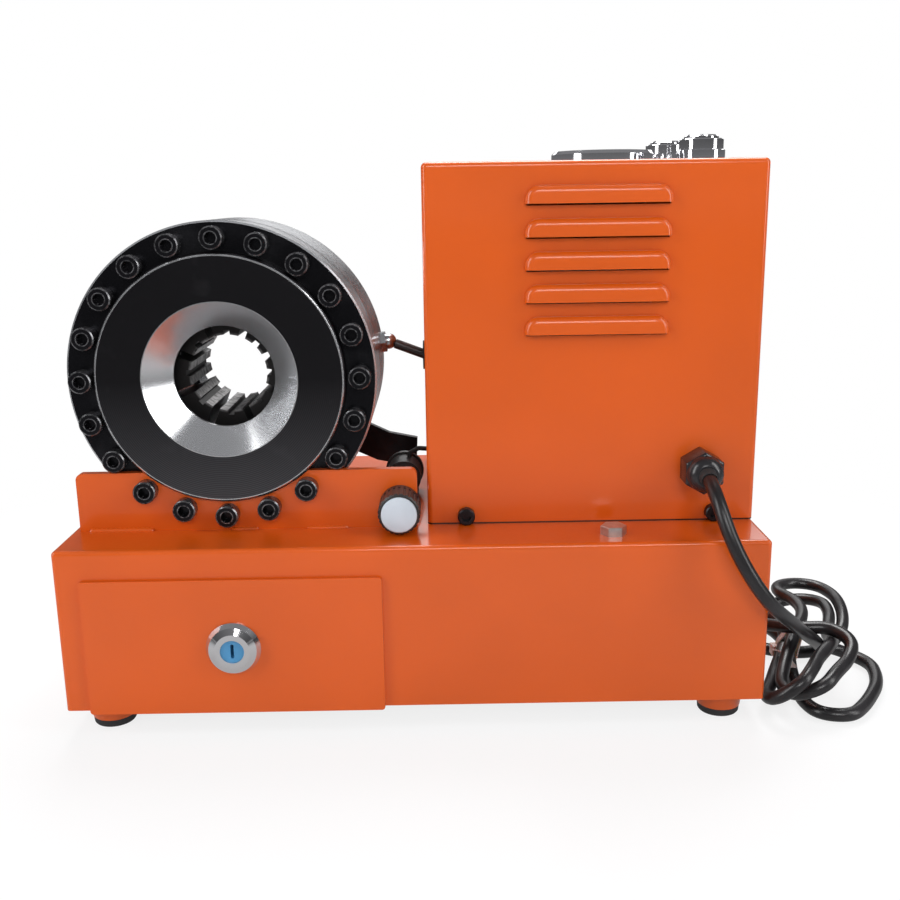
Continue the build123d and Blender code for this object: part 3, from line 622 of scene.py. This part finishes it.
def finish_piece(piece, name, material, body, bevel=0.0, smooth=35):
    """Bevel, place, shade, name and mount a piece."""
    only(piece)
    bpy.ops.object.transform_apply(location=True, rotation=True, scale=True)
    if bevel:
        edges = piece.modifiers.new("edges", "BEVEL")
        edges.width = bevel
        edges.segments = 3
        edges.limit_method = "ANGLE"
        bpy.ops.object.modifier_apply(modifier="edges")
    bpy.ops.object.shade_smooth_by_angle(angle=radians(smooth))
    piece.name = name
    piece.data.name = name
    piece.data.materials.clear()
    piece.data.materials.append(material)
    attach(piece, body)
    return piece


print("modelling helpers ready")

# %% [markdown]
# ## The power cord
# The cord is one smooth spline from the gland to the plug: a free lead that hangs in a lazy curve, and the
# turns that were gathered by hand and tied. A real one is bent over the fingers, so its folds are tight and
# no two turns are alike. The control points are in millimetres; the spline rounds them.

# %% Power cord
cord_radius = 4.0
lead = [(166.8, 18, 143.7), (167, 10.3, 141.9), (168.4, -2.9, 133.2), (172.4, -9.7, 119.3),
        (178.5, -13.3, 105.4), (186.5, -15, 91.9), (195.8, -13, 79.5), (205.5, -5.3, 69.7),
        (214.4, 4.3, 61.2), (222.6, 14.6, 52.8), (230.3, 25.5, 44.8), (237.8, 37, 37.1),
        (245.4, 48.2, 29.8), (251.9, 60, 22.1), (258.8, 71.2, 14.3), (266.4, 84.5, 9.7)]
floor_loop = [(281.5, 83, 4.6), (289.5, 68.5, 4.3), (286.5, 52.6, 4.4), (280.8, 37.7, 4.4),
              (271.8, 23.7, 4.3), (262.6, 11.3, 4.4), (251.4, -0.2, 4.5), (234, 3.4, 4.3),
              (229.2, 18.6, 4.5), (231.4, 34.3, 5.3), (232.3, 49.6, 8.1)]
first_turn = [(235.8, 64.7, 10.6), (238.5, 80, 12.6), (238.1, 95.6, 13.5), (235, 111, 12.7),
              (236.1, 126.6, 11.1), (242, 141.4, 12.4), (255.3, 150.1, 15.3), (271.4, 149.2, 17.7),
              (281.8, 136.3, 19.6), (280, 120.4, 19.2), (275.1, 105.7, 19.6), (269, 91.1, 18.8),
              (263, 76.9, 21)]
first_tip = [(260.5, 62, 25.4), (255.5, 47.6, 28.9), (248.3, 34, 32.5), (237.9, 22.2, 30.7),
             (230.2, 8.6, 30.7), (220.3, -3.1, 26.5), (207.1, 1.1, 14.9), (205.5, 16.3, 9.5),
             (213.3, 30.1, 10.3), (219.7, 43.9, 11.6), (227, 56.9, 15.1)]
second_turn = [(234.1, 69.8, 20), (237.8, 84.9, 21.9), (238.7, 100.9, 22.1), (230.1, 114.5, 21.8),
               (212.4, 114.1, 23.3), (204.4, 100.1, 24.9), (207.9, 84.5, 28.4), (215.5, 71.8, 32),
               (225, 59.4, 35.5), (237.8, 50.8, 37.4), (254, 49.3, 38.4), (263.5, 34.9, 35.3),
               (256, 21.9, 29), (245.1, 11.1, 27), (234.5, 0, 22.6), (219.4, 6.1, 14.4),
               (216.4, 21.8, 13.8), (222.3, 36, 17.6), (228.9, 49, 22.2)]
last_turn = [(236.2, 62.3, 26.6), (243.6, 76, 27.8), (251, 89.8, 28.3), (255.7, 104.8, 28.5),
             (255, 120.5, 28.4), (249.6, 135.6, 27.7), (252.8, 151, 26.5), (267.7, 159.4, 25.6),
             (283.2, 154.8, 25.1), (288.7, 139.2, 24.6), (288.2, 123.6, 23.9), (285.7, 108.7, 20.3),
             (279.7, 94.7, 14.6), (267.9, 90.5, 5.1)]
tail = [(252.6, 86.2, 4.6), (237, 89.6, 4.2), (223.4, 97.8, 4.5), (216.7, 112.2, 5.6), (216, 120, 6.6)]
strands = lead + floor_loop + first_turn + first_tip + second_turn + last_turn + tail
route = [at(*point) for point in strands]

cord_curve = bpy.data.curves.new("power_cord", "CURVE")
cord_curve.dimensions = "3D"
spline = cord_curve.splines.new("NURBS")
spline.points.add(len(route) - 1)
for knot, point in zip(spline.points, route):
    knot.co = (*point, 1.0)
spline.order_u = 3
spline.use_endpoint_u = True
cord_curve.resolution_u = 6
cord_curve.bevel_depth = cord_radius * MM
cord_curve.bevel_resolution = 6
cord = bpy.data.objects.new("power_cord", cord_curve)
bpy.context.scene.collection.objects.link(cord)

jacket = Finish("cord_jacket", (0.012, 0.011, 0.012), roughness=0.3, Specular_IOR_Level=0.5)
dull = jacket.noise(45, 4)
jacket.set("Base Color", jacket.blend(dull.step(0.4, 0.8), (0.010, 0.009, 0.010), (0.022, 0.020, 0.022)))
jacket.set("Roughness", 0.24 + dull * 0.16)
jacket.bump(jacket.noise(500, 2) * 0.5 + dull, 0.0001, 0.4)
cord_curve.materials.append(jacket.material)
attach(cord, "machine")
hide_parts("power_cord_lead", "power_cord_hank")
print("cord control points:", len(route))

# %% [markdown]
# ## The mains plug
# Moulded round the cord in one shot: body and bend relief are the same black PVC, and only the two blades are
# plated metal. One finish finds the blades by their depth.

# %% Plug
BLADES_FROM = front + 168.3 * MM
plug = Finish("moulded_plug", (0.018, 0.017, 0.018), roughness=0.42)
blades = (plug.y > BLADES_FROM).clamp()
grain = plug.noise(400, 3)
plug.set("Base Color", plug.blend(blades, (0.018, 0.017, 0.018), (0.66, 0.66, 0.62)))
plug.set("Metallic", blades)
plug.set("Roughness", 0.42 - blades * 0.2 + grain * 0.08)
plug.bump(grain * (1 - blades), 0.00006, 0.4)
dress(plug.material, "mains_plug")
print("finish:", plug.material.name)

# %% [markdown]
# ## The cable tie
# A nylon strap is pulled tight round three strands, so its outline is the hull of their sections: straight
# between two strands and round at each. A circle of vertices is moved to that outline, extruded by the width
# of the strap, thickened and bevelled. The head is a small hollowed block, and the cut tail lies on the
# strands.

# %% Cable tie
nylon = Finish("natural_nylon", (0.80, 0.66, 0.62), roughness=0.35, Subsurface_Weight=0.15)
streak = nylon.noise(90, 3)
nylon.set("Base Color", nylon.blend(streak.step(0.3, 0.8), (0.74, 0.56, 0.52), (0.56, 0.40, 0.37)))
nylon.bump(streak, 0.0001, 0.3)

TIED = [(236.3, 11.1), (233.2, 19.3), (239.3, 27.1)]  # x and z of the strands' centres under the strap
STRAP_FROM, STRAP_WIDTH, STRAP_THICK = 66.2, 4.6, 1.0
STRAP_POINTS = 72
STRAND_POINTS = 32
SLACK = 0.1


def hull(points):
    """The convex outline of flat points, counter-clockwise."""
    ordered = sorted(points)
    outline = []
    for run in (ordered, ordered[::-1]):
        part = []
        for point in run:
            while len(part) > 1:
                (ax, az), (bx, bz) = part[-2:]
                if (bx - ax) * (point[1] - az) - (bz - az) * (point[0] - ax) > 0:
                    break
                part.pop()
            part.append(point)
        outline += part[:-1]
    return outline


def evenly(outline, count):
    """So many points at equal steps along a closed outline."""
    loop = [Vector(p) for p in outline]
    sides = [(b - a).length for a, b in zip(loop, loop[1:] + loop[:1])]
    step = sum(sides) / count
    spots, side, gone = [], 0, 0.0
    for number in range(count):
        while number * step > gone + sides[side] + 1e-9:
            gone += sides[side]
            side += 1
        start, end = loop[side], loop[(side + 1) % len(loop)]
        spots.append(start.lerp(end, (number * step - gone) / sides[side]))
    return spots


grip = cord_radius + SLACK
corners = [2 * pi * k / STRAND_POINTS for k in range(STRAND_POINTS)]
around = [(x + grip * cos(corner), z + grip * sin(corner)) for x, z in TIED for corner in corners]
outline = evenly(hull(around), STRAP_POINTS)
fresh()
bpy.ops.mesh.primitive_circle_add(vertices=STRAP_POINTS, radius=0.01, fill_type="NOTHING")
strap = bpy.context.object
for vertex, (x, z) in zip(strap.data.vertices, outline):
    vertex.co = at(x, STRAP_FROM, z)
bpy.ops.object.mode_set(mode="EDIT")
bpy.ops.mesh.select_all(action="SELECT")
bpy.ops.mesh.extrude_region_move(TRANSFORM_OT_translate={"value": (0, STRAP_WIDTH * MM, 0)})
bpy.ops.mesh.select_all(action="SELECT")
bpy.ops.mesh.normals_make_consistent(inside=False)
bpy.ops.object.mode_set(mode="OBJECT")
wall = strap.modifiers.new("wall", "SOLIDIFY")
wall.thickness = STRAP_THICK * MM
wall.offset = 1
bpy.ops.object.modifier_apply(modifier="wall")
finish_piece(strap, "tie_strap", nylon.material, "machine", bevel=0.25 * MM)

fresh()
bpy.ops.mesh.primitive_cube_add(size=1, location=at(227.0, 68.5, 15.6), scale=(4.4 * MM, 6.4 * MM, 6.6 * MM))
head = bpy.context.object
bpy.ops.object.transform_apply(location=True, rotation=False, scale=True)
pick_faces(head, lambda face: face.normal.y < -0.9)
bpy.ops.mesh.inset(thickness=0.9 * MM, depth=0)
bpy.ops.mesh.extrude_region_move(TRANSFORM_OT_translate={"value": (0, 1.6 * MM, 0)})
bpy.ops.object.mode_set(mode="OBJECT")
finish_piece(head, "tie_head", nylon.material, "machine", bevel=0.35 * MM)

TAIL = [(226.8, 65.6, 16.5), (227.2, 60.5, 18.4), (228.2, 56.0, 19.4), (229.8, 51.8, 17.2),
        (231.4, 49.0, 14.4), (232.4, 46.8, 12.9)]
fresh()
bpy.ops.mesh.primitive_plane_add(size=1, location=(0, 0, 0))
tail_strip = bpy.context.object
first, second = at(*TAIL[0]), at(*TAIL[1])
across = Vector((0.5 * 4.4 * MM, 0, 0))
for vertex in tail_strip.data.vertices:
    side = 1 if vertex.co.x > 0 else -1
    vertex.co = (second if vertex.co.y > 0 else first) + across * side
bpy.ops.object.mode_set(mode="EDIT")
bpy.ops.mesh.select_mode(type="VERT")
for index in range(1, len(TAIL) - 1):
    bpy.ops.mesh.select_all(action="DESELECT")
    strip_mesh = bmesh.from_edit_mesh(tail_strip.data)
    here = at(*TAIL[index])
    for vertex in strip_mesh.verts:
        vertex.select_set(abs((vertex.co - here).length - across.length) < 0.05 * MM)
    strip_mesh.select_flush(True)
    bmesh.update_edit_mesh(tail_strip.data)
    bpy.ops.mesh.extrude_region_move(TRANSFORM_OT_translate={"value": at(*TAIL[index + 1]) - here})
bpy.ops.mesh.select_all(action="SELECT")
bpy.ops.mesh.normals_make_consistent(inside=False)
bpy.ops.object.mode_set(mode="OBJECT")
wall = tail_strip.modifiers.new("wall", "SOLIDIFY")
wall.thickness = STRAP_THICK * MM
wall.offset = 0
bpy.ops.object.modifier_apply(modifier="wall")
finish_piece(tail_strip, "tie_tail", nylon.material, "machine", bevel=0.3 * MM)
for piece in (strap, head, tail_strip):
    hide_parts("cable_tie")
print("cable tie:", sum(len(piece.data.polygons) for piece in (strap, head, tail_strip)), "faces")

# %% [markdown]
# ## The cable gland
# A moulded nylon gland: a hexagon that stands on a corner, and a domed nut that squeezes the seal. The
# hexagon is a six-sided cylinder with bevelled ends; the dome is a disc, extruded and narrowed four times.

# %% Gland
gland_x, gland_z = 166.8, 143.7
HEX_FROM, HEX_RADIUS = 25.0, 12.5
HEX_DEPTH = (tower_front - front) / MM - HEX_FROM
DOME_RADIUS, DOME_FROM, DOME_DISC = 10.8, 26.0, 3.0
DOME = [(10.6, 24.6), (10.1, 21.8), (8.4, 19.4), (6.2, 18.1)]  # radius and depth of each ring
fresh()
bpy.ops.mesh.primitive_cylinder_add(vertices=6, radius=HEX_RADIUS * MM, depth=HEX_DEPTH * MM,
                                    location=at(gland_x, HEX_FROM + HEX_DEPTH / 2, gland_z),
                                    rotation=(pi / 2, 0, 0))
hexagon = bpy.context.object
bpy.ops.object.transform_apply(location=True, rotation=True, scale=True)
pick_faces(hexagon, lambda face: face.normal.y < -0.9)
bpy.ops.mesh.inset(thickness=1.2 * MM, depth=0)
bpy.ops.transform.translate(value=(0, -1.0 * MM, 0))
bpy.ops.object.mode_set(mode="OBJECT")
finish_piece(hexagon, "gland_hexagon", gland_black, "machine", bevel=0.4 * MM)
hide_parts("gland_body")

fresh()
bpy.ops.mesh.primitive_cylinder_add(vertices=64, radius=DOME_RADIUS * MM, depth=DOME_DISC * MM,
                                    location=at(gland_x, DOME_FROM + DOME_DISC / 2, gland_z),
                                    rotation=(pi / 2, 0, 0))
dome = bpy.context.object
bpy.ops.object.transform_apply(location=True, rotation=True, scale=True)
pick_faces(dome, lambda face: face.normal.y < -0.9)
radius, depth = DOME_RADIUS, DOME_FROM
for next_radius, next_depth in DOME:
    bpy.ops.mesh.extrude_region_move(TRANSFORM_OT_translate={"value": (0, (next_depth - depth) * MM, 0)})
    share = next_radius / radius
    bpy.ops.transform.resize(value=(share, 1, share), center_override=at(gland_x, next_depth, gland_z))
    radius, depth = next_radius, next_depth
bpy.ops.object.mode_set(mode="OBJECT")
finish_piece(dome, "gland_dome", gland_black, "machine", bevel=0.3 * MM, smooth=50)
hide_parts("gland_nut")
print("gland:", len(hexagon.data.polygons), "and", len(dome.data.polygons), "faces")

# %% [markdown]
# ## The gland's seal
# Where the cord leaves the nut, a rubber seal tapers down to it. It is a frustum whose small end is inset and
# pushed back to leave a lip.

# %% Seal
mouth = at(gland_x, 18, gland_z)
way = (route[1] - route[0]).normalized()
SEAL_BASE, SEAL_TIP, SEAL_LENGTH = 5.2 * MM, 4.5 * MM, 5.0 * MM
fresh()
bpy.ops.mesh.primitive_cone_add(vertices=40, radius1=SEAL_BASE, radius2=SEAL_TIP, depth=SEAL_LENGTH,
                                location=mouth + way * SEAL_LENGTH * 0.3,
                                rotation=way.to_track_quat("Z", "Y").to_euler())
seal = bpy.context.object
bpy.ops.object.transform_apply(location=True, rotation=True, scale=True)
pick_faces(seal, lambda face: len(face.verts) > 4 and face.normal.dot(way) > 0.9)
bpy.ops.mesh.inset(thickness=0.4 * MM, depth=0)
bpy.ops.mesh.extrude_region_move(TRANSFORM_OT_translate={"value": -way * 0.8 * MM})
bpy.ops.object.mode_set(mode="OBJECT")
finish_piece(seal, "gland_seal", pad_rubber, "machine", bevel=0.2 * MM)
print("seal:", len(seal.data.polygons), "faces")

# %% [markdown]
# ## Weld beads
# The bracket's foot is welded to the base. A welder's bead is a row of overlapping ripples: a rod is divided
# along its length and every other ring is shrunk, then the bead is painted with the rest.


# %% Welds
RIPPLE = 1.3 * MM
WAIST = 0.72


def weld(name, from_x, to_x, d, z, thick=2.0):
    """A rippled bead along X, half sunk in the corner."""
    fresh()
    length = (to_x - from_x) * MM
    middle = at((from_x + to_x) / 2, d, z)
    bpy.ops.mesh.primitive_cylinder_add(vertices=16, radius=thick * MM, depth=length, location=middle,
                                        rotation=(0, pi / 2, 0))
    bead = bpy.context.object
    bpy.ops.object.transform_apply(location=True, rotation=True, scale=True)
    count = int(length / RIPPLE)
    bpy.ops.object.mode_set(mode="EDIT")
    for cut in range(1, count):
        bpy.ops.mesh.select_all(action="SELECT")
        place = Vector((from_x * MM + length * cut / count, middle.y, middle.z))
        bpy.ops.mesh.bisect(plane_co=place, plane_no=(1, 0, 0))
    bpy.ops.mesh.select_mode(type="VERT")
    for cut in range(0, count + 1, 2):
        bpy.ops.mesh.select_all(action="DESELECT")
        ring_x = from_x * MM + length * cut / count
        mesh = bmesh.from_edit_mesh(bead.data)
        for vertex in mesh.verts:
            vertex.select_set(abs(vertex.co.x - ring_x) < 0.05 * MM)
        mesh.select_flush(True)
        bmesh.update_edit_mesh(bead.data)
        bpy.ops.transform.resize(value=(1, WAIST, WAIST), center_override=(ring_x, middle.y, middle.z))
    bpy.ops.object.mode_set(mode="OBJECT")
    return finish_piece(bead, name, orange, "machine", bevel=0, smooth=60)


bracket_face = (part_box("front_bracket")[0].y - front) / MM
weld_z = base_top / MM
weld("weld_left", -189, -152, bracket_face, weld_z)
weld("weld_middle_left", -106, -91, bracket_face, weld_z, 1.4)
weld("weld_middle", -62, -38, bracket_face, weld_z, 1.4)
print("weld beads: 3, at depth", round(bracket_face, 1))
